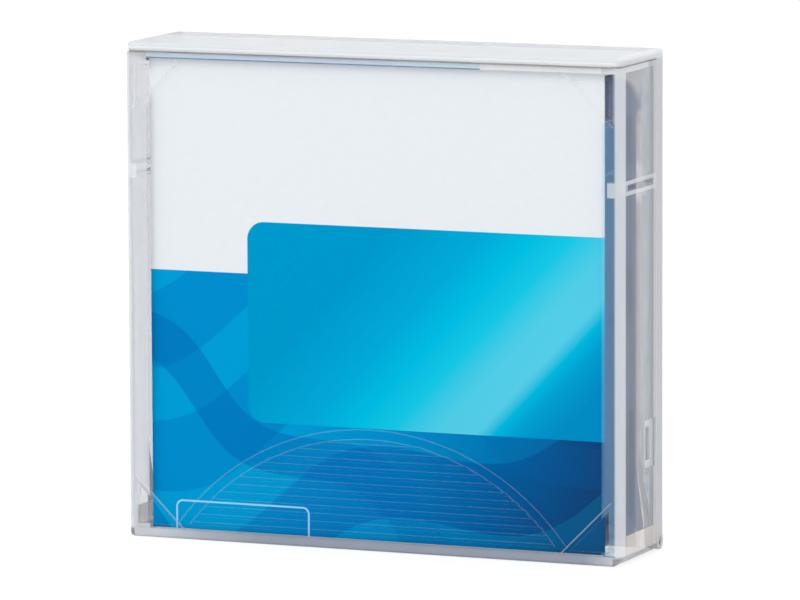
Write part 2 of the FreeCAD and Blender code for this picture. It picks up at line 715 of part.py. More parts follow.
def shell_seats(body, inner, toward_back):
    """Build what both half shells carry inside, from the inner face up."""
    name = body.Name
    rail = sketch_on(body, name + "_rail", "XZ_Plane", f"-{inner}")
    rectangle(rail, f"{DOOR_IN} - door_slack - rail_wall", f"{DOOR_IN} - door_slack",
              DOOR_LOW, f"{DOOR_TOP} + door_travel")
    pad(body, rail, "rail_height", backward=toward_back)
    cradle = sketch_on(body, name + "_cradle", "XZ_Plane", f"-{inner}")
    circle(cradle, LEADER_X, LEADER_Z, "leader_flange + leader_gap + cradle_wall")
    pad(body, cradle, "cradle_height", backward=toward_back)
    cup = sketch_on(body, name + "_cup", "XZ_Plane", f"-{inner}")
    circle(cup, LEADER_X, LEADER_Z, "leader_flange + leader_gap")
    pocket(body, cup, "cradle_height", backward=not toward_back)
    mouth = sketch_on(body, name + "_mouth", "XZ_Plane", f"-{inner}")
    rectangle(mouth, f"{LEADER_X} + leader_radius", f"{LEADER_X} + leader_flange + mouth_reach",
              f"{LEADER_Z} - leader_flange - leader_gap",
              f"{LEADER_Z} + leader_flange + leader_gap")
    pocket(body, mouth, "cradle_height", backward=not toward_back)
    bosses = sketch_on(body, name + "_bosses", "XZ_Plane", f"-{inner}")
    for across, level in screw_places():
        circle(bosses, across, level, "boss_radius")
    pad(body, bosses, "cart_thick / 2 - shell_wall", backward=toward_back)


def upper_shell():
    """Upper shell, facing the card: key post, spring seat and blind screw bores."""
    body = shell_blank("upper_shell", CART_FRONT, True)
    shell_openings(body, True)
    shell_seats(body, ROOF_IN, True)
    bores = sketch_on(body, "upper_bores", "XZ_Plane", f"-{SPLIT}")
    for across, level in screw_places():
        circle(bores, across, level, "screw_radius + screw_slack")
    pocket(body, bores, "cart_thick / 2 - shell_wall", backward=True)
    key = sketch_on(body, "key_post", "XZ_Plane", f"-{ROOF_IN}")
    rectangle(key, "-key_side / 2", "key_side / 2", f"{CART_MID} - key_side / 2",
              f"{CART_MID} + key_side / 2")
    pad(body, key, f"{KEY_BACK} - {ROOF_IN}", backward=True)
    seat = sketch_on(body, "spring_seat", "XZ_Plane", f"-{ROOF_IN}")
    circle(seat, "0", CART_MID, "seat_radius")
    circle(seat, "0", CART_MID, "seat_radius - seat_wall")
    pad(body, seat, "seat_height", backward=True)
    return body


def lower_shell():
    """Lower shell, at the back: drive opening, spring post and screw heads' sinks."""
    body = shell_blank("lower_shell", CART_BACK, False)
    shell_openings(body, False)
    shell_seats(body, BASE_IN, False)
    bores = sketch_on(body, "lower_bores", "XZ_Plane", f"-{SPLIT}")
    sinks = sketch_on(body, "screw_sinks", "XZ_Plane", f"-{CART_BACK}")
    for across, level in screw_places():
        circle(bores, across, level, "screw_radius + screw_slack")
        circle(sinks, across, level, "screw_head + sink_slack")
    pocket(body, bores, "cart_thick / 2")
    pocket(body, sinks, "head_sink + head_height", backward=True)
    hole = sketch_on(body, "drive_opening", "XZ_Plane", f"-{SPLIT}")
    circle(hole, "0", CART_MID, "opening_radius")
    pocket(body, hole, "cart_thick / 2")
    rim = sketch_on(body, "opening_ring", "XZ_Plane", f"-{BASE_IN}")
    circle(rim, "0", CART_MID, "opening_radius")
    circle(rim, "0", CART_MID, "opening_radius + opening_rim")
    pad(body, rim, "reel_float / 2")
    post = sketch_on(body, "spring_post", "XZ_Plane", f"-{BASE_IN}")
    circle(post, COIL_X, COIL_Z, "post_radius")
    pad(body, post, "post_height")
    return body


def shell_screws():
    """Four self-tapping screws that close the cartridge from its lower shell."""
    screws = []
    head_front = f"({CART_BACK} - head_sink - head_height)"
    for index, (across, level) in enumerate(screw_places(), start=1):
        head = doc.addObject("Part::Cylinder", f"screw_head_{index}")
        shank = doc.addObject("Part::Cylinder", f"screw_shank_{index}")
        for item, radius, length, depth in (
                (head, "screw_head", "head_height", head_front),
                (shank, "screw_radius", "screw_length", f"{head_front} - screw_length")):
            tie(item, "Radius", radius)
            tie(item, "Height", length)
            item.Placement.Rotation = FreeCAD.Rotation(FreeCAD.Vector(1, 0, 0), -90)
            tie(item, "Placement.Base.x", across)
            tie(item, "Placement.Base.y", depth)
            tie(item, "Placement.Base.z", level)
        screw = doc.addObject("Part::Fuse", f"screw_{index}")
        screw.Base = head
        screw.Tool = shank
        screws.append(screw)
    group = doc.addObject("Part::Compound", "shell_screws")
    group.Links = screws
    return group


def access_door():
    """Sliding door over the leader pin, with finger ridges and the spring's catch."""
    body = new_body("access_door")
    half = "(cart_thick / 2 - shell_wall - door_slack)"
    plate = sketch_on(body, "door_plate", "YZ_Plane", DOOR_IN)
    rectangle(plate, f"{SPLIT} - {half}", f"{SPLIT} + {half}", DOOR_LOW, DOOR_TOP)
    pad(body, plate, "door_wall")
    ridges = sketch_on(body, "door_ridges", "YZ_Plane", DOOR_OUT)
    for index in range(int(number("ridge_count"))):
        level = f"({DOOR_LOW} + 2 * door_lap + {index} * ridge_pitch)"
        rectangle(ridges, f"{SPLIT} - {half} / 2", f"{SPLIT} + {half} / 2", level,
                  f"{level} + ridge_width")
    pad(body, ridges, "ridge_height")
    catch = sketch_on(body, "door_catch", "YZ_Plane", DOOR_IN)
    rectangle(catch, f"{SPLIT} - catch_width / 2", f"{SPLIT} + catch_width / 2",
              f"{CATCH_TOP} - catch_height", CATCH_TOP)
    pad(body, catch, "catch_reach", backward=True)
    return body


def coil(radius, wire, pitch, turns):
    """Coil round Z from (radius, 0, 0): half turns in tilted planes, end to end."""
    halves = []
    for index in range(2 * int(turns)):
        side = -1 if index % 2 else 1
        start = FreeCAD.Vector(side * radius, 0, index * pitch / 2)
        middle = FreeCAD.Vector(0, 0, (index + 0.5) * pitch / 2)
        section = Part.Face(Part.Wire([Part.Circle(start, FreeCAD.Vector(0, 1, 0), wire).toShape()]))
        halves.append(section.revolve(middle, FreeCAD.Vector(side * pitch / 4, 0, radius), 180))
    return halves[0].fuse(halves[1:])


def door_spring():
    """Torsion spring on its post: one leg on the door's catch, one beside the wall."""
    radius, wire = number("coil_radius"), number("coil_wire")
    pitch, turns = number("coil_pitch"), number("coil_turns")
    top = FreeCAD.Vector(radius, 0, pitch * turns)
    foot = FreeCAD.Vector(radius, 0, 0)
    along = FreeCAD.Vector(0, 1, 0)
    reach = number(f"{DOOR_IN} - {COIL_X} - parting")
    long_leg = Part.makeCylinder(wire, reach, foot, -along)
    short_leg = Part.makeCylinder(wire, number("coil_radius + post_radius"), top, along)
    spring = doc.addObject("Part::Feature", "door_spring")
    spring.Shape = coil(radius, wire, pitch, turns).fuse([long_leg, short_leg])
    flat = FreeCAD.Rotation(FreeCAD.Vector(1, 0, 0), 90)
    place = FreeCAD.Vector(number(COIL_X), number(f"{SPLIT} + catch_width / 4"), number(COIL_Z))
    spring.Placement = FreeCAD.Placement(place, flat * FreeCAD.Rotation(FreeCAD.Vector(0, 0, 1), 90))
    return spring


def leader_pin():
    """Steel pin that the drive takes hold of, with a flange at each end."""
    body = new_body("leader_pin")
    depth = "(cart_thick - 2 * shell_wall - 2 * leader_gap)"
    profile = sketch_on(body, "pin_profile", "XZ_Plane")
    polygon(profile, [("0", "0"), ("leader_flange", "0"), ("leader_flange", "flange_height"),
                      ("leader_radius", "flange_height"),
                      ("leader_radius", f"{depth} - flange_height"),
                      ("leader_flange", f"{depth} - flange_height"), ("leader_flange", depth),
                      ("0", depth)])
    revolve(body, profile)
    on_axis(body, f"{ROOF_IN} + leader_gap")
    tie(body, "Placement.Base.x", LEADER_X)
    tie(body, "Placement.Base.z", LEADER_Z)
    return body


def leader_clamp():
    """C-shaped clamp that holds the end of the tape on the leader pin."""
    body = new_body("leader_clamp")
    ring = sketch_on(body, "clamp_ring", "XY_Plane")
    circle(ring, "0", "0", "leader_radius + pack_slack")
    circle(ring, "0", "0", "leader_radius + pack_slack + clamp_wall")
    pad(body, ring, "tape_width - 2 * tape_strip")
    slit = sketch_on(body, "clamp_slit", "XY_Plane", "tape_width")
    rectangle(slit, "0", "2 * leader_radius", "-leader_radius / 2", "leader_radius / 2")
    pocket(body, slit, "tape_width")
    on_axis(body, f"{TAPE_FRONT} + tape_strip")
    tie(body, "Placement.Base.x", LEADER_X)
    tie(body, "Placement.Base.z", LEADER_Z)
    return body


def pin_clips():
    """Two leaf springs across the mouths of the leader pin's seats."""
    clips = []
    bow = f"({LEADER_X} + leader_flange + leader_gap)"
    for index, face in enumerate((f"{ROOF_IN} + leader_gap",
                                  f"{BASE_IN} - leader_gap - clip_width"), start=1):
        clip = doc.addObject("Part::Box", f"pin_clip_{index}")
        tie(clip, "Length", "clip_wall")
        tie(clip, "Width", "clip_width")
        tie(clip, "Height", "clip_length")
        tie(clip, "Placement.Base.x", bow)
        tie(clip, "Placement.Base.y", face)
        tie(clip, "Placement.Base.z", f"{LEADER_Z} - clip_length / 2")
        clips.append(clip)
    group = doc.addObject("Part::Compound", "pin_clips")
    group.Links = clips
    return group


def write_protect_tab():
    """Slide in the cartridge's rear edge that locks it against writing."""
    body = new_body("write_protect_tab")
    knob = sketch_on(body, "protect_knob", "XY_Plane", f"{CART_TOP} - shell_side - protect_slack")
    rectangle(knob, PROTECT_LEFT, f"{PROTECT_LEFT} + protect_length",
              f"{SPLIT} - protect_height / 2", f"{SPLIT} + protect_height / 2")
    pad(body, knob, "shell_side - protect_slack")
    grooves = sketch_on(body, "protect_grooves", "XY_Plane", f"{CART_TOP} - 2 * protect_slack")
    for index in range(int(number("protect_grooves"))):
        left = f"({PROTECT_LEFT} + protect_length * {index + 1} / (protect_grooves + 1))"
        rectangle(grooves, f"{left} - protect_groove / 2", f"{left} + protect_groove / 2",
                  f"{SPLIT} - protect_height / 3", f"{SPLIT} + protect_height / 3")
    pocket(body, grooves, "2 * protect_slack")
    foot = sketch_on(body, "protect_foot", "XY_Plane", f"{CART_TOP} - shell_side - protect_slack")
    rectangle(foot, f"{PROTECT_LEFT} - protect_wall",
              f"{PROTECT_LEFT} + protect_length + protect_wall",
              f"{SPLIT} - protect_height", f"{SPLIT} + protect_height")
    pad(body, foot, "protect_wall", backward=True)
    return body


def memory_chip():
    """Contactless memory board, set across the lower corner."""
    chip = doc.addObject("Part::Box", "memory_chip")
    tie(chip, "Length", "chip_side")
    tie(chip, "Width", "chip_depth")
    tie(chip, "Height", "chip_wall")
    chip.Placement.Rotation = FreeCAD.Rotation(FreeCAD.Vector(0, 1, 0), 45)
    half = "(chip_side * sqrt(2) / 4)"
    tie(chip, "Placement.Base.x", f"chip_inset - {CART_SIDE} - {half}")
    tie(chip, "Placement.Base.y", f"{BASE_IN} - leader_gap - chip_depth")
    tie(chip, "Placement.Base.z", f"{CART_LOW} + chip_inset + {half}")
    return chip


def reel_hub():
    """Reel hub with its lower flange, drive teeth, brake teeth and release holes."""
    body = new_body("reel_hub")
    profile = sketch_on(body, "hub_profile", "XZ_Plane")
    polygon(profile, [("0", WEB_FRONT), (HUB_IN, WEB_FRONT), (HUB_IN, TAPE_FRONT),
                      ("hub_radius", TAPE_FRONT), ("hub_radius", TAPE_BACK),
                      ("flange_radius", TAPE_BACK), ("flange_radius", FLANGE_BACK),
                      ("drum_radius", FLANGE_BACK), ("drum_radius", DRUM_BACK),
                      ("drum_bore", DRUM_BACK), ("drum_bore", TAPE_BACK), ("0", TAPE_BACK)])
    revolve(body, profile)
    crest = sketch_on(body, "brake_crest", "XY_Plane", WEB_FRONT)
    rectangle(crest, "brake_bore", "brake_radius", "-tooth_width / 2", "tooth_width / 2")
    around(body, [pad(body, crest, "brake_crest", backward=True)], "brake_teeth")
    tooth = sketch_on(body, "drive_tooth", "XY_Plane", DRUM_BACK)
    rectangle(tooth, "drum_bore - 1", "drum_radius + 1", "-tooth_width / 2", "tooth_width / 2")
    around(body, [pocket(body, tooth, "tooth_height")], "drum_teeth")
    hole = sketch_on(body, "release_hole", "XY_Plane", DRUM_BACK)
    circle(hole, "foot_circle", "0", "foot_radius + foot_slack")
    around(body, [pocket(body, hole, f"{DRUM_BACK} - {WEB_FRONT}")], "feet")
    on_axis(body)
    return body


def ring_body(name, inner, outer, start, length):
    """Flat ring round the reel's centre line."""
    body = new_body(name)
    ring = sketch_on(body, name + "_ring", "XY_Plane")
    circle(ring, "0", "0", inner)
    circle(ring, "0", "0", outer)
    pad(body, ring, length)
    on_axis(body, start)
    return body


def tape_leader():
    """Straight run of tape from the leader pin to the outside of the pack."""
    start_x = number(LEADER_X)
    drop = number(f"{CART_MID} - {LEADER_Z}")
    far = math.hypot(start_x, drop)
    reach = number("pack_radius + 2 * tape_strip")
    run = math.sqrt(far ** 2 - reach ** 2)
    begin = number("leader_radius + pack_slack + clamp_wall + tape_strip")
    tilt = math.degrees(math.atan2(start_x, drop) - math.asin(reach / far))
    width = number("tape_width - 2 * tape_strip")
    strip = doc.addObject("Part::Feature", "tape_leader")
    strip.Shape = Part.makeBox(number("tape_strip"), width, run - begin,
                               FreeCAD.Vector(0, 0, begin))
    place = FreeCAD.Vector(start_x, number(f"{TAPE_FRONT} + tape_strip"), number(LEADER_Z))
    strip.Placement = FreeCAD.Placement(place, FreeCAD.Rotation(FreeCAD.Vector(0, 1, 0), -tilt))
    return strip


def brake_button():
    """Toothed brake disc with a square socket that slides on the key post."""
    body = new_body("brake_button")
    disc = sketch_on(body, "brake_disc", "XY_Plane", BRAKE_FRONT)
    circle(disc, "0", "0", "brake_radius")
    pad(body, disc, "brake_disc")
    boss = sketch_on(body, "brake_boss", "XY_Plane", BOSS_FRONT)
    circle(boss, "0", "0", "boss_outer")
    pad(body, boss, BOSS_REACH)
    socket = sketch_on(body, "brake_socket", "XY_Plane", BOSS_FRONT)
    side = "(key_side / 2 + key_slack)"
    rectangle(socket, f"-{side}", side, f"-{side}", side)
    pocket(body, socket, f"{BOSS_REACH} + socket_depth", backward=True)
    tooth = sketch_on(body, "brake_tooth", "XY_Plane", BRAKE_BACK)
    tie(tooth, "AttachmentOffset.Rotation.Angle", "180 / brake_teeth")
    rectangle(tooth, "brake_bore", "brake_radius", "-tooth_width / 2", "tooth_width / 2")
    around(body, [pad(body, tooth, f"{CREST} + brake_mesh - {BRAKE_BACK}")], "brake_teeth")
    on_axis(body)
    return body


def brake_release():
    """Three-armed plate whose feet reach through the hub to lift the brake."""
    body = new_body("brake_release")
    disc = sketch_on(body, "release_disc", "XY_Plane", RELEASE_FRONT)
    circle(disc, "0", "0", "release_radius / 2")
    pad(body, disc, "release_wall")
    arm = sketch_on(body, "release_arm", "XY_Plane", RELEASE_FRONT)
    rectangle(arm, "0", "foot_circle", "-foot_radius - arm_flare", "foot_radius + arm_flare")
    arm_pad = pad(body, arm, "release_wall")
    foot = sketch_on(body, "release_foot", "XY_Plane", RELEASE_FRONT)
    circle(foot, "foot_circle", "0", "foot_radius")
    foot_pad = pad(body, foot, f"{DRUM_BACK} - {RELEASE_FRONT} - 2 * foot_slack")
    around(body, [arm_pad, foot_pad], "feet")
    on_axis(body)
    return body


def brake_spring():
    """Compression spring between the upper shell and the brake button."""
    wire, turns = number("spring_wire"), number("spring_turns")
    seat = number(ROOF_IN) + number("leader_gap") + wire
    length = number(BRAKE_FRONT) - number("leader_gap") - wire - seat
    spring = doc.addObject("Part::Feature", "brake_spring")
    spring.Shape = coil(number("spring_radius"), wire, length / turns, turns)
    turn = FreeCAD.Rotation(FreeCAD.Vector(1, 0, 0), -90)
    spring.Placement = FreeCAD.Placement(FreeCAD.Vector(0, seat, number(CART_MID)), turn)
    return spring


def write_parts(nodes):
    """Check every object and every sub-part, then write one STEP file each."""
    doc.recompute()
    for item in doc.Objects:
        if "Invalid" in item.State or "Error" in item.State:
            raise ValueError(f"{item.Name} failed: {item.State}")
    for node in nodes:
        if node.Shape.isNull() or not node.Shape.isValid() or not node.Shape.Solids:
            raise ValueError(f"{node.Label} has no sound shape")
    os.makedirs("parts", exist_ok=True)
    for node in nodes:
        node.Shape.exportStep(f"parts/{node.Label}.step")
        print(f"{node.Label}: {len(node.Shape.Solids)} solid, {node.Shape.Volume:.1f} mm3")


write_parts([
    case_front(),
    case_back(),
    insert_card(),
    upper_shell(),
    lower_shell(),
    shell_screws(),
    access_door(),
    door_spring(),
    leader_pin(),
    leader_clamp(),
    pin_clips(),
    write_protect_tab(),
    memory_chip(),
    reel_hub(),
    ring_body("reel_flange", HUB_IN, "flange_radius", FLANGE_FRONT, "flange_wall"),
    ring_body("drive_plate", "plate_bore", "drum_bore - foot_slack", TAPE_BACK, "plate_wall"),
    ring_body("tape_pack", "hub_radius + pack_slack", "pack_radius", TAPE_FRONT, "tape_width"),
    tape_leader(),
    brake_button(),
    brake_spring(),
    brake_release(),
])
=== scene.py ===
import math

import bmesh
import bpy
from mathutils import Matrix, Vector


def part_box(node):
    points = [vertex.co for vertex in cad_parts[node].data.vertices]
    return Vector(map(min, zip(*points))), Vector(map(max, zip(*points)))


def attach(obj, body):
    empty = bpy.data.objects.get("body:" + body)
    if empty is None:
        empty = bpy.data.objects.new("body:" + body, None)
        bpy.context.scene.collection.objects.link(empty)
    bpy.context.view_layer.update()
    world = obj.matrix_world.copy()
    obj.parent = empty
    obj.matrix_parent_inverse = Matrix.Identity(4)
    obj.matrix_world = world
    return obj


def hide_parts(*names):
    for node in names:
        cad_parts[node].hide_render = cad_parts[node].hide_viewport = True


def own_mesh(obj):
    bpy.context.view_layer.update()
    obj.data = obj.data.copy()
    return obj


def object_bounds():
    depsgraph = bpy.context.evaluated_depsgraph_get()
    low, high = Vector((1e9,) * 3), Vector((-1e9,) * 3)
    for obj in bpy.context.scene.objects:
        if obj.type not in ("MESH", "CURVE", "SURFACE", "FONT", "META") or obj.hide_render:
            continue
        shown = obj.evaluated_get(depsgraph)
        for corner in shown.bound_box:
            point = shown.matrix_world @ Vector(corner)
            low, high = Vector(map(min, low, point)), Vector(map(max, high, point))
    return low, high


# Data tape cartridge in its library case: looks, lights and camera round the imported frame.
# Places are millimetres in the row frame; Blender gets metres. Colours are 0-255 screen values.
MM = 0.001

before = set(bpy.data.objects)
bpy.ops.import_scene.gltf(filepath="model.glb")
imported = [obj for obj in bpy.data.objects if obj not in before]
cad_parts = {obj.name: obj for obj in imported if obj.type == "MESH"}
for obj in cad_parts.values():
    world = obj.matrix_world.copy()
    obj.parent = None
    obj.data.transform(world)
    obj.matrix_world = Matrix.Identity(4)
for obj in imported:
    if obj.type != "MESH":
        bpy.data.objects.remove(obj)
cad_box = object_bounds()

LOW, HIGH = (corner / MM for corner in cad_box)
CARD_LOW, CARD_HIGH = (Vector(corner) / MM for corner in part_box("insert_card"))
SHELL_HIGH = Vector(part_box("upper_shell")[1]) / MM
FRONT, BACK, SIDE, TOP = LOW.y, HIGH.y, HIGH.x, HIGH.z

# Light that the milky plastic spreads inside itself, in metres.
SCATTER = {"Subsurface_Weight": 1.0, "Subsurface_Radius": (1.0, 1.0, 1.0), "Subsurface_Scale": 0.003}

# Clear front half: haze outside the card, and shares of haze of its thick milky parts.
THIN_HAZE, CROWN_HAZE = 0.045, 0.93
THICK_HAZE = {"corner": 0.72, "head": 0.75, "rib": 0.62, "ledge": 0.66, "foot": 0.85}
# Outer skin and full depth of the panel, outer skin and foot of the side walls.
PANEL_SKIN, PANEL_DEPTH = FRONT + 1.4, FRONT + 2.3
WALL_SKIN, WALL_FOOT = SIDE - 1.4, 1.4
# Milky corner bands, the rib across the side wall, the ledge at the foot and the slot's frame.
CORNER_INNER, CORNER_OUTER, CORNER_BACK, CORNER_FADE = SIDE - 1.3, SIDE - 0.8, FRONT + 3.9, 0.7
RIB_LOW, RIB_HIGH, RIB_BACK, RIB_INNER = 79.0, 82.2, 9.0, SIDE - 2.6
LEDGE_TOP = 5.9
SLOT_FRONT, SLOT_BACK, SLOT_LOW, SLOT_HIGH = 2.1, 8.5, 18.7, 29.3
# Front edges of the inner wall and of the dark three-cornered painted shadow before it; both lean back below
# SLANT_TOP.
LINER_FRONT, SLANT_TOP, SLANT = 4.6, 20.6, 0.39
SHADOW_WEDGE_FRONT, SHADOW_WEDGE_SLANT = -3.2, 0.31
STRIPE_WIDE, STRIPE_FADES, STRIPE_TOP = 3.6, 93.0, 98.0
# Card tab edges cross the panel's corners at 45 degrees; painted highlight lines run along them on the
# panel.
LOW_TAB, LOW_TAB_TOP, HIGH_TAB, HIGH_TAB_FOOT, TAB_EDGE = 41.9, 13.6, 149.9, 93.5, 0.3
MARGIN_TOP = 94.7
# Thumb grip in the panel: an arch with a stepped rim and grooves.
GRIP_RADIUS, GRIP_CENTRE, GRIP_FOOT, GROOVE_PITCH = 56.6, -30.1, 3.2, 1.75
GRIP_RIM, GRIP_STEP = 0.3, 2.4

# Frosted back half: underside of the top plate, lip, and outer skins of the rim, inner walls and back.
PLATE = TOP - 1.8
LIP_LOW, LIP_BACK = TOP - 1.9, FRONT + 0.5
RIM_SKIN, LINER_SKIN, BACK_SKIN = SIDE - 1.4, SIDE - 2.0, BACK - 0.2

# Inner side wall of the back half, and the brow that joins it to the top plate.
LINER_OUT, LINER_WALL, LINER_ROUND = SIDE - 1.8, 1.3, 6.5
BROW_FRONT, BROW_LOW, BROW_LONG, BROW_HIGH = -9.0, 96.0, 13.6, 8.2

# Bead on the panel's top edge; its section is measured from the panel's face and top edge.
BEAD_FOOT, BEAD_HALF = 106.5, 56.6
BEAD_SECTION = ((0.1, 0.0), (0.05, 0.12), (0.2, 0.24), (0.9, 0.24), (1.1, 0.12), (1.1, 0.0))

# Heights of the edges of the robot's grips on the cartridge's sides.
GRIP_EDGES, GRIP_EDGE_HALF = (94.6, 83.4, 18.8), 0.16

# Printed card: places across are measured from the case's left side.
FIELD_TOP = 58.85
# Middle, half size and corner radius of the banner and of the open frame at the foot.
BANNER = ((88.2, 48.35), (60.0, 21.95), 3.9)
FOOT_FRAME, FRAME_LINE = ((26.65, -6.0), (15.9, 14.4), 1.6), 0.4
# Waves of the blue field: lean, swing, wavelength, pitch, share of the pitch, colour.
WAVES = ((0.3, 6.0, 78.0, 29.0, 0.42, (2, 172, 222)), (-0.55, 5.0, 64.0, 37.0, 0.3, (2, 104, 180)))
FIELD_LEAN, CREST_LEAN = -0.25, -0.96
# Right ends of the folded spine's blue and cyan stretches, from the case's middle.
SPINE_BLUE_END, SPINE_CYAN_END = 5.8, 26.0

# Camera, fitted to the outline of the case; angles are in degrees.
VIEW_AZIMUTH, VIEW_ELEVATION, VIEW_ROLL = 22.726, 7.512, -0.242
VIEW_DISTANCE, VIEW_LENS = 1506.7, 312.7
VIEW_TARGET = Vector((1.588, 0.0, 53.102))

# Lamps (name, place, size, power) and floor, in metres and watts.
LAMPS = (("key", (-0.55, -0.9, 0.75), 0.6, 3.0), ("fill", (0.95, -0.35, 0.45), 0.6, 1.0),
         ("top", (0.05, 0.15, 1.0), 0.7, 1.2))
FLOOR_HALF, FLOOR_GAP, FLOOR_GLOW = 3.0, 0.0002, 0.78
WORLD_LIGHT, WORLD_TINT = 0.88, (0.97, 0.985, 1.0, 1.0)


def tint(red, green, blue):
    """A colour written as 0-255 screen values, in Blender's linear light."""
    def linear(value):
        value /= 255
        return value / 12.92 if value <= 0.04045 else ((value + 0.055) / 1.055) ** 2.4
    return (linear(red), linear(green), linear(blue), 1.0)


def grey(level):
    """A grey in linear light."""
    return (level, level, level, 1.0)


def steps(start, end, count=16):
    """Even values from start to end, both included."""
    return [start + (end - start) * index / count for index in range(count + 1)]


class Nodes:
    """Short calls for writing one node tree. A plain number or colour may stand for a socket."""

    def __init__(self, tree):
        self.tree = tree
        tree.nodes.clear()

    def make(self, kind, **settings):
        node = self.tree.nodes.new(kind)
        for name, value in settings.items():
            setattr(node, name, value)
        return node

    def feed(self, socket, value):
        if isinstance(value, bpy.types.NodeSocket):
            self.tree.links.new(value, socket)
        else:
            socket.default_value = value

    def math(self, operation, *values, clamp=False):
        node = self.make("ShaderNodeMath", operation=operation, use_clamp=clamp)
        for socket, value in zip(node.inputs, values):
            self.feed(socket, value)
        return node.outputs[0]

    def mix(self, factor, first, second):
        """First colour where the factor is 0, second where it is 1."""
        node = self.make("ShaderNodeMix", data_type="RGBA")
        for index, value in ((0, factor), (6, first), (7, second)):
            self.feed(node.inputs[index], value)
        return node.outputs[2]

    def step(self, value, start, end):
        """0 on the far side of start, 1 on the far side of end, straight between them."""
        node = self.make("ShaderNodeMapRange", clamp=True)
        low, high, falling = (start, end, False) if start < end else (end, start, True)
        self.feed(node.inputs[0], value)
        for index, limit in enumerate((low, high, float(falling), float(not falling)), start=1):
            node.inputs[index].default_value = limit
        return node.outputs[0]

    def band(self, value, low, high, soft=0.05):
        """1 between low and high, 0 outside, with a soft edge."""
        rise = self.step(value, low - soft, low + soft)
        fall = self.step(value, high + soft, high - soft)
        return self.math("MULTIPLY", rise, fall)

    def both(self, *masks):
        """Product of masks and plain shares."""
        result = masks[0]
        for mask in masks[1:]:
            result = self.math("MULTIPLY", result, mask)
        return result

    def either(self, *masks):
        """Largest of the masks."""
        result = masks[0]
        for mask in masks[1:]:
            result = self.math("MAXIMUM", result, mask)
        return result

    def wrap(self, value, pitch):
        """The value counted anew from 0 at each pitch."""
        return self.math("WRAP", value, pitch, 0.0)

    def object_place(self):
        return self.make("ShaderNodeTexCoord").outputs["Object"]

    def split(self, vector):
        node = self.make("ShaderNodeSeparateXYZ")
        self.feed(node.inputs[0], vector)
        return node.outputs

    def places(self):
        """X, Y and Z in millimetres of the row frame."""
        scaled = self.make("ShaderNodeVectorMath", operation="SCALE")
        self.feed(scaled.inputs[0], self.object_place())
        scaled.inputs["Scale"].default_value = 1 / MM
        return self.split(scaled.outputs[0])

    def sideways(self):
        """How far a face looks to the left or right, from 0 to 1."""
        normal = self.make("ShaderNodeNewGeometry").outputs["Normal"]
        return self.math("ABSOLUTE", self.split(normal)[0])

    def ramp(self, value, *stops):
        """Colour that passes through the stops (place, colour) in order."""
        low, high = stops[0][0], stops[-1][0]
        node = self.make("ShaderNodeValToRGB")
        self.feed(node.inputs[0], self.step(value, low, high))
        points = node.color_ramp.elements
        while len(points) < len(stops):
            points.new(0.5)
        for point, (place, colour) in zip(points, stops):
            point.position = (place - low) / (high - low)
            point.color = tint(*colour)
        return node.outputs[0]

    def noise(self, scale, detail=2.0, stretch=(1.0, 1.0, 1.0)):
        """Noise from 0 to 1; scale is in cells per metre."""
        mapping = self.make("ShaderNodeMapping")
        mapping.inputs["Scale"].default_value = stretch
        self.feed(mapping.inputs["Vector"], self.object_place())
        node = self.make("ShaderNodeTexNoise")
        self.feed(node.inputs["Vector"], mapping.outputs[0])
        node.inputs["Scale"].default_value = scale
        node.inputs["Detail"].default_value = detail
        return node.outputs["Fac"]

    def bump(self, height, strength, distance):
        """Bumped normal; distance is in millimetres."""
        node = self.make("ShaderNodeBump")
        node.inputs["Strength"].default_value = strength
        node.inputs["Distance"].default_value = distance * MM
        self.feed(node.inputs["Height"], height)
        return node.outputs[0]

    def surface(self, **values):
        """The shader itself; keys are its socket names with _ for a space."""
        shader = self.make("ShaderNodeBsdfPrincipled")
        for name, value in values.items():
            self.feed(shader.inputs[name.replace("_", " ")], value)
        output = self.make("ShaderNodeOutputMaterial")
        self.feed(output.inputs["Surface"], shader.outputs[0])


def new_material(name):
    material = bpy.data.materials.new(name)
    material.use_nodes = True
    return material, Nodes(material.node_tree)


def mottled(nodes, dark, light):
    """Slightly uneven colour of moulded plastic."""
    return nodes.mix(nodes.step(nodes.noise(60.0, detail=3.0), 0.3, 0.7), tint(*dark), tint(*light))


def grained(nodes, shade, roughness, grain):
    """Surface with a fine spark-eroded grain and uneven gloss."""
    fine = nodes.noise(grain)
    nodes.surface(Base_Color=shade, Roughness=nodes.math("MULTIPLY_ADD", fine, 0.12, roughness - 0.06),
                  Normal=nodes.bump(fine, strength=0.35, distance=0.02))


def moulded(name, colour, roughness=0.42):
    """Moulded plastic of one colour."""
    material, nodes = new_material(name)
    shade = mottled(nodes, (value * 0.94 for value in colour), (min(255, value * 1.05) for value in colour))
    grained(nodes, shade, roughness, 900.0)
    return material


def cartridge_shell():
    """Dark blue shell: moulded grain, and light caught by the edges of the robot's grips."""
    material, nodes = new_material("cartridge_shell")
    x, y, z = nodes.places()
    side = nodes.step(nodes.math("ABSOLUTE", x), SHELL_HIGH.x - 0.9, SHELL_HIGH.x - 0.8)
    edges = nodes.either(*(nodes.band(z, level - GRIP_EDGE_HALF, level + GRIP_EDGE_HALF)
                           for level in GRIP_EDGES))
    shade = mottled(nodes, (15, 55, 112), (20, 63, 124))
    grained(nodes, nodes.mix(nodes.both(side, edges, 0.6), shade, tint(160, 200, 232)), 0.4, 1100.0)
    return material


def metal(name, colour, roughness=0.28):
    """Drawn steel: long fine scratches along the part."""
    material, nodes = new_material(name)
    scratch = nodes.noise(700.0, detail=3.0, stretch=(1.0, 0.05, 1.0))
    shade = nodes.mix(scratch, tint(*(value * 0.86 for value in colour)), tint(*colour))
    nodes.surface(Base_Color=shade, Metallic=1.0,
                  Roughness=nodes.math("MULTIPLY_ADD", scratch, 0.2, roughness - 0.1),
                  Normal=nodes.bump(scratch, strength=0.2, distance=0.01))
    return material


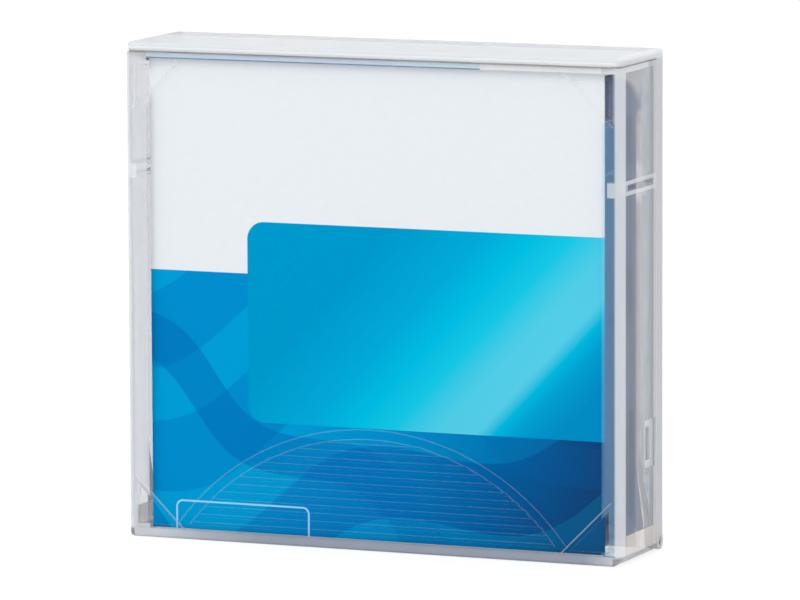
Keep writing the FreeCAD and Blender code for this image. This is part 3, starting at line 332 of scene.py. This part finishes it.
def tape_film():
    """Coated tape: dark, with a fine streaky grain."""
    material, nodes = new_material("tape_film")
    turns = nodes.noise(2600.0, stretch=(1.0, 0.02, 1.0))
    shade = nodes.mix(turns, tint(38, 34, 33), tint(62, 56, 54))
    nodes.surface(Base_Color=shade, Roughness=0.3, Normal=nodes.bump(turns, strength=0.2, distance=0.01))
    return material


def chip_board():
    """Memory chip's little board: dark green resin with a mottled weave."""
    material, nodes = new_material("chip_board")
    weave = nodes.noise(1500.0, detail=1.0)
    shade = nodes.mix(weave, tint(18, 52, 40), tint(30, 76, 56))
    nodes.surface(Base_Color=shade, Roughness=0.35, Normal=nodes.bump(weave, strength=0.2, distance=0.01))
    return material


def grip_lines(nodes, x, z):
    """Light that the sunk thumb grip's rims and grooves catch."""
    reach = nodes.math("SQRT", nodes.math("ADD", nodes.math("MULTIPLY", x, x),
                                          nodes.math("POWER", nodes.math("SUBTRACT", z, GRIP_CENTRE), 2.0)))
    inner = GRIP_RADIUS - GRIP_STEP
    rims = nodes.either(nodes.band(reach, GRIP_RADIUS - GRIP_RIM, GRIP_RADIUS),
                        nodes.band(reach, inner, inner + 0.25))
    rung = nodes.wrap(nodes.math("SUBTRACT", z, GRIP_FOOT), GROOVE_PITCH)
    rungs = nodes.both(nodes.band(rung, 0.55, 0.8), nodes.step(reach, inner, inner - 0.2))
    return nodes.both(nodes.either(rims, nodes.both(rungs, 0.6)),
                      nodes.step(z, GRIP_FOOT, GRIP_FOOT + 0.1))


def slanted_depth(nodes, y, z, slant):
    """Depth less the lean of a line that is upright above SLANT_TOP and leans back below it."""
    below = nodes.math("MAXIMUM", nodes.math("SUBTRACT", SLANT_TOP, z), 0.0)
    return nodes.math("MULTIPLY_ADD", below, -slant, y)


def wall_layers(nodes, y, z, wall):
    """Veils on the side wall: inner wall, light stripe, a dark three-cornered patch of painted shadow at the
    foot, rear end, slot's frame.
    """
    inner = nodes.both(nodes.band(y, LINER_FRONT - 0.2, LINER_FRONT + 2.6, soft=0.4), wall)
    depth = slanted_depth(nodes, y, z, SHADOW_WEDGE_SLANT)
    stripe = nodes.both(nodes.band(depth, SHADOW_WEDGE_FRONT, SHADOW_WEDGE_FRONT + STRIPE_WIDE, soft=0.4), wall,
                        nodes.step(z, STRIPE_TOP, STRIPE_FADES))
    # painted shadow: a dark veil on the clear wall at the foot, in front of the inner wall's slanted edge
    shadow_wedge = nodes.both(nodes.step(y, SHADOW_WEDGE_FRONT - 0.3, SHADOW_WEDGE_FRONT), wall,
                       nodes.step(z, SLANT_TOP, SLANT_TOP - 0.2),
                       nodes.step(depth, SHADOW_WEDGE_FRONT + 0.1, SHADOW_WEDGE_FRONT))
    tail = nodes.both(nodes.step(y, LINER_FRONT + 2.3, LINER_FRONT + 2.9), wall)
    slot = nodes.both(nodes.band(y, SLOT_FRONT, SLOT_BACK), nodes.band(z, SLOT_LOW, SLOT_HIGH), wall)
    return [(inner, 0.5, (186, 192, 200)), (stripe, 0.36, (204, 201, 200)), (shadow_wedge, 0.78, (94, 103, 130)),
            (tail, 0.75, (210, 211, 213)), (slot, 0.7, (222, 225, 229))]


def panel_layers(nodes, x, z, across, panel, streak):
    """Veils on the front panel: margins to the left and right of the card, the right one tinted blue as a
    painted reflection, and painted highlight lines along the tab edges.
    """
    left = nodes.both(nodes.step(x, CARD_LOW.x + 0.1, CARD_LOW.x - 0.1), panel)
    # painted reflection: the right margin's veil is tinted light blue for blue light from the cartridge
    # behind it
    right = nodes.both(nodes.step(x, CARD_HIGH.x - 0.1, CARD_HIGH.x + 0.2), panel,
                       nodes.step(z, MARGIN_TOP + 0.2, MARGIN_TOP))
    low = nodes.both(nodes.band(nodes.math("SUBTRACT", across, z), LOW_TAB, LOW_TAB + TAB_EDGE, soft=0.1),
                     nodes.step(z, LOW_TAB_TOP + 0.2, LOW_TAB_TOP))
    high = nodes.both(nodes.band(nodes.math("ADD", across, z), HIGH_TAB, HIGH_TAB + TAB_EDGE, soft=0.1),
                      nodes.step(z, HIGH_TAB_FOOT - 0.2, HIGH_TAB_FOOT))
    # painted highlight: light lines on the panel along the card tab edges
    tab_highlights = nodes.both(nodes.either(low, high), panel,
                      nodes.step(across, CORNER_INNER, CORNER_INNER - 0.2))
    return [(left, nodes.math("MULTIPLY_ADD", streak, 0.2, 0.66), (212, 213, 218)),
            (right, 0.24, (140, 200, 240)), (tab_highlights, 0.42, (232, 238, 246))]


def side_rib(nodes, across, y, z):
    """Milky rib across the side wall, clearer in its hollow."""
    bar = nodes.both(nodes.band(z, RIB_LOW, RIB_HIGH), nodes.step(y, RIB_BACK + 0.1, RIB_BACK))
    hollow = nodes.both(nodes.band(z, RIB_LOW + 0.9, RIB_HIGH - 0.9),
                        nodes.band(y, FRONT + 4.0, RIB_BACK - 1.4))
    bar = nodes.math("SUBTRACT", bar, nodes.both(hollow, 0.45))
    return nodes.both(bar, nodes.step(across, RIB_INNER - 0.1, RIB_INNER))


def thick_parts(nodes, across, y, z, wall):
    """Thick milky parts of the front half, by name."""
    return {
        "corner": nodes.both(nodes.step(across, CORNER_INNER, CORNER_OUTER),
                             nodes.step(y, CORNER_BACK + CORNER_FADE, CORNER_BACK)),
        "head": nodes.step(z, CARD_HIGH.z + 0.1, CARD_HIGH.z + 0.3),
        "rib": side_rib(nodes, across, y, z),
        "ledge": nodes.both(nodes.step(z, LEDGE_TOP + 0.1, LEDGE_TOP), wall,
                            nodes.step(y, CORNER_BACK, CORNER_BACK + CORNER_FADE)),
        "foot": nodes.both(nodes.step(z, CARD_LOW.z + 0.05, CARD_LOW.z - 0.1),
                           nodes.step(y, FRONT + 2.5, FRONT + 2.0)),
    }


def window_sides(nodes, across, y):
    """Faces of the panel's windows that look to the left or right."""
    return nodes.both(nodes.step(nodes.sideways(), 0.8, 0.9),
                      nodes.step(across, CORNER_INNER - 0.3, CORNER_INNER - 0.5),
                      nodes.step(y, PANEL_DEPTH + 0.1, PANEL_DEPTH))


def shade_thick(nodes, x, shade, parts):
    """Colours of the thick parts, laid over the shade of the rest."""
    milky = nodes.either(parts["corner"], nodes.step(parts["rib"], 0.1, 0.2))
    shade = nodes.mix(milky, shade, tint(232, 234, 239))
    shade = nodes.mix(parts["ledge"], shade, tint(226, 218, 212))
    sill = nodes.ramp(x, (-SIDE, (214, 216, 219)), (8.0 - SIDE, (208, 210, 214)),
                      (18.0 - SIDE, (176, 182, 192)), (32.0 - SIDE, (148, 157, 171)),
                      (SIDE - 8.0, (148, 157, 171)), (SIDE - 2.0, (196, 200, 208)))
    return nodes.mix(parts["foot"], shade, sill)


def shade_crown(nodes, x, z, shade, crown):
    """Above the card, the folded spine shows through the panel, with a painted shadow line along the card's
    top edge.
    """
    spine = nodes.ramp(x, (SPINE_BLUE_END - 0.3, (205, 219, 238)), (SPINE_BLUE_END, (206, 226, 238)),
                       (SPINE_CYAN_END - 0.3, (206, 226, 238)), (SPINE_CYAN_END, (240, 241, 245)))
    # painted shadow: a dark line along the card's top edge, as far as the spine's cyan stretch
    card_top_shadow = nodes.both(crown, nodes.step(z, CARD_HIGH.z + 0.5, CARD_HIGH.z + 0.4),
                      nodes.step(x, SPINE_CYAN_END, SPINE_CYAN_END - 0.3))
    return nodes.mix(card_top_shadow, nodes.mix(crown, shade, spine), tint(112, 140, 174))


def clear_plastic():
    """Clear polypropylene: haze grows outside the card, along the corners and on the side walls."""
    material, nodes = new_material("clear_case")
    x, y, z = nodes.places()
    across = nodes.math("ABSOLUTE", x)
    streak = nodes.noise(500.0, detail=1.0, stretch=(1.0, 1.0, 0.02))
    panel = nodes.step(y, PANEL_SKIN + 0.1, PANEL_SKIN)
    wall = nodes.step(across, WALL_SKIN - 0.05, WALL_SKIN)
    card_wide = nodes.band(x, CARD_LOW.x, CARD_HIGH.x, soft=0.1)
    over_card = nodes.both(card_wide, nodes.band(z, CARD_LOW.z, CARD_HIGH.z, soft=0.1),
                           nodes.step(y, PANEL_DEPTH + 0.1, PANEL_DEPTH))
    parts = thick_parts(nodes, across, y, z, wall)
    thick = nodes.either(*(nodes.both(parts[name], share) for name, share in THICK_HAZE.items()))
    crown = nodes.both(parts["head"], panel, card_wide)
    # thin veils (mask, share of haze, colour); a later one lies over those before it
    layers = wall_layers(nodes, y, z, wall) + panel_layers(nodes, x, z, across, panel, streak)
    haze = nodes.either(nodes.math("MULTIPLY_ADD", over_card, -THIN_HAZE, THIN_HAZE), thick,
                        nodes.both(wall, nodes.math("MULTIPLY_ADD", streak, 0.1, 0.2)),
                        nodes.both(grip_lines(nodes, x, z), panel, 0.11), nodes.both(crown, CROWN_HAZE),
                        *(nodes.both(mask, share) for mask, share, colour in layers))
    cleared = nodes.both(window_sides(nodes, across, y), 0.85)
    haze = nodes.both(haze, nodes.math("SUBTRACT", 1.0, cleared))
    facing = nodes.make("ShaderNodeLayerWeight").outputs["Facing"]
    glare = nodes.both(nodes.math("POWER", facing, 4.0), 0.25)
    shade = nodes.mix(nodes.step(thick, 0.1, 0.4), tint(200, 212, 226), tint(232, 234, 239))
    for mask, share, colour in layers:
        shade = nodes.mix(mask, shade, tint(*colour))
    shade = shade_thick(nodes, x, shade, parts)
    wall_foot = nodes.both(wall, nodes.step(z, WALL_FOOT + 0.5, WALL_FOOT))
    shade = nodes.mix(wall_foot, shade, tint(142, 140, 143))
    shade = shade_crown(nodes, x, z, shade, crown)
    nodes.surface(Base_Color=shade, Alpha=nodes.math("ADD", glare, haze, clamp=True), Roughness=0.16,
                  Specular_IOR_Level=0.4, **SCATTER)
    return material


def frosted_plastic():
    """Frosted polypropylene of the back half: milky, with a spark-eroded grain and a bright front lip whose
    light is painted: near white below, a greyer band along its top.
    """
    material, nodes = new_material("frosted_case")
    x, y, z = nodes.places()
    across = nodes.math("ABSOLUTE", x)
    plate = nodes.step(z, PLATE - 0.2, PLATE)
    below_plate = nodes.step(z, PLATE, PLATE - 0.2)
    lip = nodes.both(nodes.step(z, LIP_LOW - 0.3, LIP_LOW), nodes.step(y, LIP_BACK + 0.7, LIP_BACK))
    # painted shade: a dark line along the crease where the top meets the front lip
    crease_shadow = nodes.both(nodes.step(z, TOP - 0.35, TOP - 0.2), nodes.step(y, FRONT + 0.55, FRONT + 0.3))
    liner = nodes.step(slanted_depth(nodes, y, z, SLANT), LINER_FRONT + 0.2, LINER_FRONT + 0.1)
    under = nodes.both(nodes.step(y, LINER_FRONT + 0.2, LINER_FRONT + 0.1), below_plate)
    rim = nodes.step(across, RIM_SKIN - 0.2, RIM_SKIN)
    skin = nodes.either(nodes.step(across, LINER_SKIN - 0.1, LINER_SKIN),
                        nodes.step(y, BACK_SKIN - 0.1, BACK_SKIN), plate)
    within = nodes.both(nodes.step(across, SIDE - 1.6, SIDE - 1.9), nodes.step(y, BACK - 1.6, BACK - 1.8))
    haze = nodes.math("MULTIPLY_ADD", plate, 0.12, nodes.math("MULTIPLY_ADD", skin, 0.42, 0.04))
    haze = nodes.either(haze, lip, nodes.both(liner, 0.8), nodes.both(rim, 0.88))
    # painted light and shade: the lip's face near white below, greyer in a band along its top
    lip_light_and_shade = nodes.mix(nodes.step(z, TOP - 0.7, TOP - 1.0), tint(210, 214, 218), tint(250, 252, 255))
    shade = nodes.mix(lip, tint(223, 225, 228), lip_light_and_shade)
    for mask, colour in ((nodes.both(rim, below_plate), (208, 209, 211)),
                         (nodes.both(within, below_plate), (196, 204, 213)),
                         (crease_shadow, (200, 204, 208)), (under, (226, 216, 208))):
        shade = nodes.mix(mask, shade, tint(*colour))
    nodes.surface(Base_Color=shade, Alpha=haze, Roughness=0.5, **SCATTER,
                  Normal=nodes.bump(nodes.noise(1400.0, detail=1.0), strength=0.3, distance=0.02))
    return material


def rounded_box(nodes, x, z, middle, half, radius):
    """Distance from the edge of a rounded rectangle, negative inside."""
    parts = []
    for value, centre, reach in ((x, middle[0], half[0]), (z, middle[1], half[1])):
        off = nodes.math("ABSOLUTE", nodes.math("SUBTRACT", value, centre))
        parts.append(nodes.math("SUBTRACT", off, reach - radius))
    outer = [nodes.math("MAXIMUM", part, 0.0) for part in parts]
    squares = [nodes.math("MULTIPLY", part, part) for part in outer]
    length = nodes.math("SQRT", nodes.math("ADD", *squares))
    inner = nodes.math("MINIMUM", nodes.math("MAXIMUM", *parts), 0.0)
    return nodes.math("SUBTRACT", nodes.math("ADD", length, inner), radius)


def blue_field(nodes, x, z):
    """Blue that deepens to the lower right, with a generic motif of broad waves, tone on tone."""
    slide = nodes.math("MULTIPLY_ADD", z, FIELD_LEAN, x)
    blue = nodes.ramp(slide, (20.0, (2, 142, 205)), (56.0, (4, 122, 190)), (80.0, (3, 98, 163)),
                      (100.0, (16, 74, 128)), (116.0, (30, 50, 96)))
    fade = nodes.math("MULTIPLY_ADD", nodes.step(slide, 30.0, 100.0), -0.38, 0.5)
    for lean, swing, length, pitch, share, colour in WAVES:
        run = nodes.math("MULTIPLY_ADD", z, lean, x)
        rise = nodes.math("MULTIPLY_ADD", x, -lean, z)
        curl = nodes.math("SINE", nodes.math("MULTIPLY", run, 2 * math.pi / length))
        level = nodes.wrap(nodes.math("MULTIPLY_ADD", curl, swing, rise), pitch)
        stripe = nodes.band(level, 0.0, share * pitch, soft=0.06)
        blue = nodes.mix(nodes.both(stripe, fade), blue, tint(*colour))
    return blue


def printed_card():
    """Printed card: white above, tone-on-tone blue below and a cyan banner with rounded corners."""
    material, nodes = new_material("printed_card")
    x, y, z = nodes.places()
    x = nodes.math("ADD", x, SIDE)
    paper = nodes.noise(500.0, detail=3.0)
    white = nodes.mix(paper, tint(233, 236, 239), tint(237, 240, 243))
    face = nodes.mix(nodes.step(z, FIELD_TOP + 0.1, FIELD_TOP), white, blue_field(nodes, x, z))
    # banner: deep cyan, a pale crest that leans right, then deep again
    lean = nodes.math("MULTIPLY_ADD", z, CREST_LEAN, x)
    glow = nodes.ramp(lean, (-5.0, (0, 153, 203)), (17.0, (2, 171, 216)), (27.0, (0, 189, 225)),
                      (37.0, (22, 201, 229)), (47.0, (82, 207, 231)), (56.0, (88, 207, 232)),
                      (60.0, (2, 186, 221)), (65.0, (2, 161, 209)), (74.0, (2, 142, 196)))
    face = nodes.mix(nodes.step(rounded_box(nodes, x, z, *BANNER), 0.05, -0.05), face, glow)
    line = nodes.band(rounded_box(nodes, x, z, *FOOT_FRAME), -FRAME_LINE, 0.0, soft=0.03)
    face = nodes.mix(line, face, tint(158, 218, 246))
    # folded spine: blue, cyan, then white
    blue_end, cyan_end = SIDE + SPINE_BLUE_END, SIDE + SPINE_CYAN_END
    spine = nodes.mix(nodes.step(x, blue_end, blue_end + 0.1), tint(16, 124, 190), tint(20, 180, 216))
    spine = nodes.mix(nodes.step(x, cyan_end, cyan_end + 0.1), spine, white)
    face = nodes.mix(nodes.step(y, CARD_LOW.y + 0.3, CARD_LOW.y + 0.4), face, spine)
    nodes.surface(Base_Color=face, Roughness=0.45, Specular_IOR_Level=0.0,
                  Normal=nodes.bump(paper, strength=0.1, distance=0.01))
    return material


def dress(item, material):
    """Give an object one material."""
    item.data.materials.clear()
    item.data.materials.append(material)


def build_materials():
    """A material for every CAD node; returns them by the nodes' names."""
    shell = cartridge_shell()
    steel = metal("pin_steel", (196, 198, 202))
    tape = tape_film()
    chosen = {
        "case_front": clear_plastic(),
        "case_back": frosted_plastic(),
        "insert_card": printed_card(),
        "upper_shell": shell,
        "lower_shell": shell,
        "shell_screws": metal("screw_steel", (150, 152, 156)),
        "access_door": moulded("door_plastic", (48, 76, 130), 0.4),
        "door_spring": metal("spring_wire", (178, 180, 184)),
        "leader_pin": steel,
        "pin_clips": steel,
        "leader_clamp": moulded("clamp_plastic", (70, 72, 76)),
        "write_protect_tab": moulded("protect_plastic", (178, 42, 38)),
        "memory_chip": chip_board(),
        "reel_hub": moulded("reel_plastic", (196, 200, 204), 0.35),
        "drive_plate": steel,
        "reel_flange": moulded("flange_plastic", (206, 210, 214), 0.3),
        "tape_pack": tape,
        "tape_leader": tape,
        "brake_button": moulded("brake_plastic", (222, 222, 218), 0.4),
        "brake_spring": metal("brake_wire", (178, 180, 184)),
        "brake_release": moulded("release_plastic", (204, 206, 208)),
    }
    for name, material in chosen.items():
        dress(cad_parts[name], material)
    return chosen


def add_object(name, data):
    """New object in the scene's own collection."""
    item = bpy.data.objects.new(name, data)
    bpy.context.scene.collection.objects.link(item)
    return item


def build_bar(name, body, material, outline, start, length):
    """Bar along X that rides on a CAD body; its outline holds (y, z) points in millimetres."""
    solid = bmesh.new()
    near, far = ([solid.verts.new((x, y, z)) for y, z in outline] for x in (start, start + length))
    solid.faces.new(near)
    solid.faces.new(far)
    for index in range(len(outline)):
        solid.faces.new((near[index - 1], near[index], far[index], far[index - 1]))
    for vert in solid.verts:
        vert.co *= MM
    bmesh.ops.recalc_face_normals(solid, faces=solid.faces)
    mesh = bpy.data.meshes.new(name)
    solid.to_mesh(mesh)
    solid.free()
    piece = add_object(name, mesh)
    dress(piece, material)
    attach(piece, body)


def build_brows(material):
    """Lower edge of the inner side walls under the top plate: a long quarter ellipse."""
    quarter = math.pi / 2
    outline = [(LINER_FRONT - LINER_ROUND * (1 - math.sin(turn)), PLATE - LINER_ROUND * (1 - math.cos(turn)))
               for turn in steps(quarter, 0.0)]
    outline += [(BROW_FRONT, PLATE)]
    outline += [(BROW_FRONT + BROW_LONG * math.sin(turn), BROW_LOW + BROW_HIGH * math.cos(turn))
                for turn in steps(0.0, quarter)]
    for name, way in (("brow_left", -1), ("brow_right", 1)):
        build_bar(name, "case_lid", material, outline, way * LINER_OUT, -way * LINER_WALL)


def build_bead(material):
    """Moulded bead along the front panel's top edge, just under the lip."""
    outline = [(FRONT + y, BEAD_FOOT + z) for y, z in BEAD_SECTION]
    build_bar("front_bead", "case_and_cartridge", material, outline, -BEAD_HALF, 2 * BEAD_HALF)


def build_brake_spring(material):
    """The brake's coil again, as an object of its own on the case and cartridge, in place of the hidden CAD
    part.
    """
    piece = add_object("brake_coil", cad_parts["brake_spring"].data.copy())
    dress(piece, material)
    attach(piece, "case_and_cartridge")
    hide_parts("brake_spring")
    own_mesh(piece)


def seen_directly(nodes):
    """1 for the rays that show the background: camera, mirror and glass rays."""
    path = nodes.make("ShaderNodeLightPath")
    return nodes.either(path.outputs["Is Camera Ray"], path.outputs["Is Glossy Ray"],
                        path.outputs["Is Transmission Ray"])


def show_by_ray(nodes, lighting, shown, output):
    """Output of one shader for the rays that carry light and another for those that show it directly."""
    mix = nodes.make("ShaderNodeMixShader")
    for socket, value in zip(mix.inputs, (seen_directly(nodes), lighting, shown)):
        nodes.feed(socket, value)
    nodes.feed(nodes.make(output).inputs[0], mix.outputs[0])


def build_world():
    """Soft light from all round, and a white background."""
    world = bpy.data.worlds.new("studio")
    world.use_nodes = True
    nodes = Nodes(world.node_tree)
    light, white = nodes.make("ShaderNodeBackground"), nodes.make("ShaderNodeBackground")
    light.inputs["Color"].default_value = WORLD_TINT
    light.inputs["Strength"].default_value = WORLD_LIGHT
    white.inputs["Color"].default_value = grey(1.0)
    show_by_ray(nodes, light.outputs[0], white.outputs[0], "ShaderNodeOutputWorld")
    bpy.context.scene.world = world


def build_floor():
    """Pale floor that glows a little where it is seen, so that it nearly meets the background."""
    half, height = FLOOR_HALF, LOW.z * MM - FLOOR_GAP
    mesh = bpy.data.meshes.new("floor")
    mesh.from_pydata([(-half, -half, height), (half, -half, height), (half, half, height),
                      (-half, half, height)], [], [(0, 1, 2, 3)])
    floor = add_object("floor", mesh)
    material, nodes = new_material("floor_pale")
    glow = nodes.make("ShaderNodeEmission")
    glow.inputs["Strength"].default_value = FLOOR_GLOW
    shade, pale = nodes.make("ShaderNodeBsdfDiffuse"), nodes.make("ShaderNodeBsdfDiffuse")
    shade.inputs["Color"].default_value = grey(0.3)
    pale.inputs["Color"].default_value = grey(0.8)
    shown = nodes.make("ShaderNodeAddShader")
    nodes.feed(shown.inputs[0], glow.outputs[0])
    nodes.feed(shown.inputs[1], shade.outputs[0])
    show_by_ray(nodes, pale.outputs[0], shown.outputs[0], "ShaderNodeOutputMaterial")
    dress(floor, material)


def build_lights():
    """Soft square lamps that look at the middle of the case."""
    for name, place, size, power in LAMPS:
        lamp = bpy.data.lights.new(name, "AREA")
        lamp.size, lamp.energy = size, power
        item = add_object(name, lamp)
        item.location = Vector(place)
        aim = VIEW_TARGET * MM - item.location
        item.rotation_euler = aim.to_track_quat("-Z", "Y").to_euler()


def build_camera():
    """Camera at the photograph's angle."""
    data = bpy.data.cameras.new("camera")
    data.lens, data.sensor_width = VIEW_LENS, 36.0
    data.clip_start, data.clip_end = 0.05, 20.0
    camera = add_object("camera", data)
    azimuth, elevation, roll = (math.radians(angle) for angle in (VIEW_AZIMUTH, VIEW_ELEVATION, VIEW_ROLL))
    back = Vector((math.sin(azimuth) * math.cos(elevation), -math.cos(azimuth) * math.cos(elevation),
                   math.sin(elevation)))
    right = Vector((math.cos(azimuth), math.sin(azimuth), 0.0))
    up = back.cross(right)
    across = right * math.cos(roll) + up * math.sin(roll)
    above = up * math.cos(roll) - right * math.sin(roll)
    turn = Matrix((across, above, back)).transposed()
    camera.matrix_world = Matrix.LocRotScale((VIEW_TARGET + back * VIEW_DISTANCE) * MM,
                                             turn.to_quaternion(), None)
    bpy.context.scene.camera = camera
    bpy.context.scene.view_settings.view_transform = "Standard"


build_camera()
build_world()
build_floor()
build_lights()
looks = build_materials()
build_brows(looks["case_back"])
build_bead(looks["case_front"])
build_brake_spring(looks["brake_spring"])
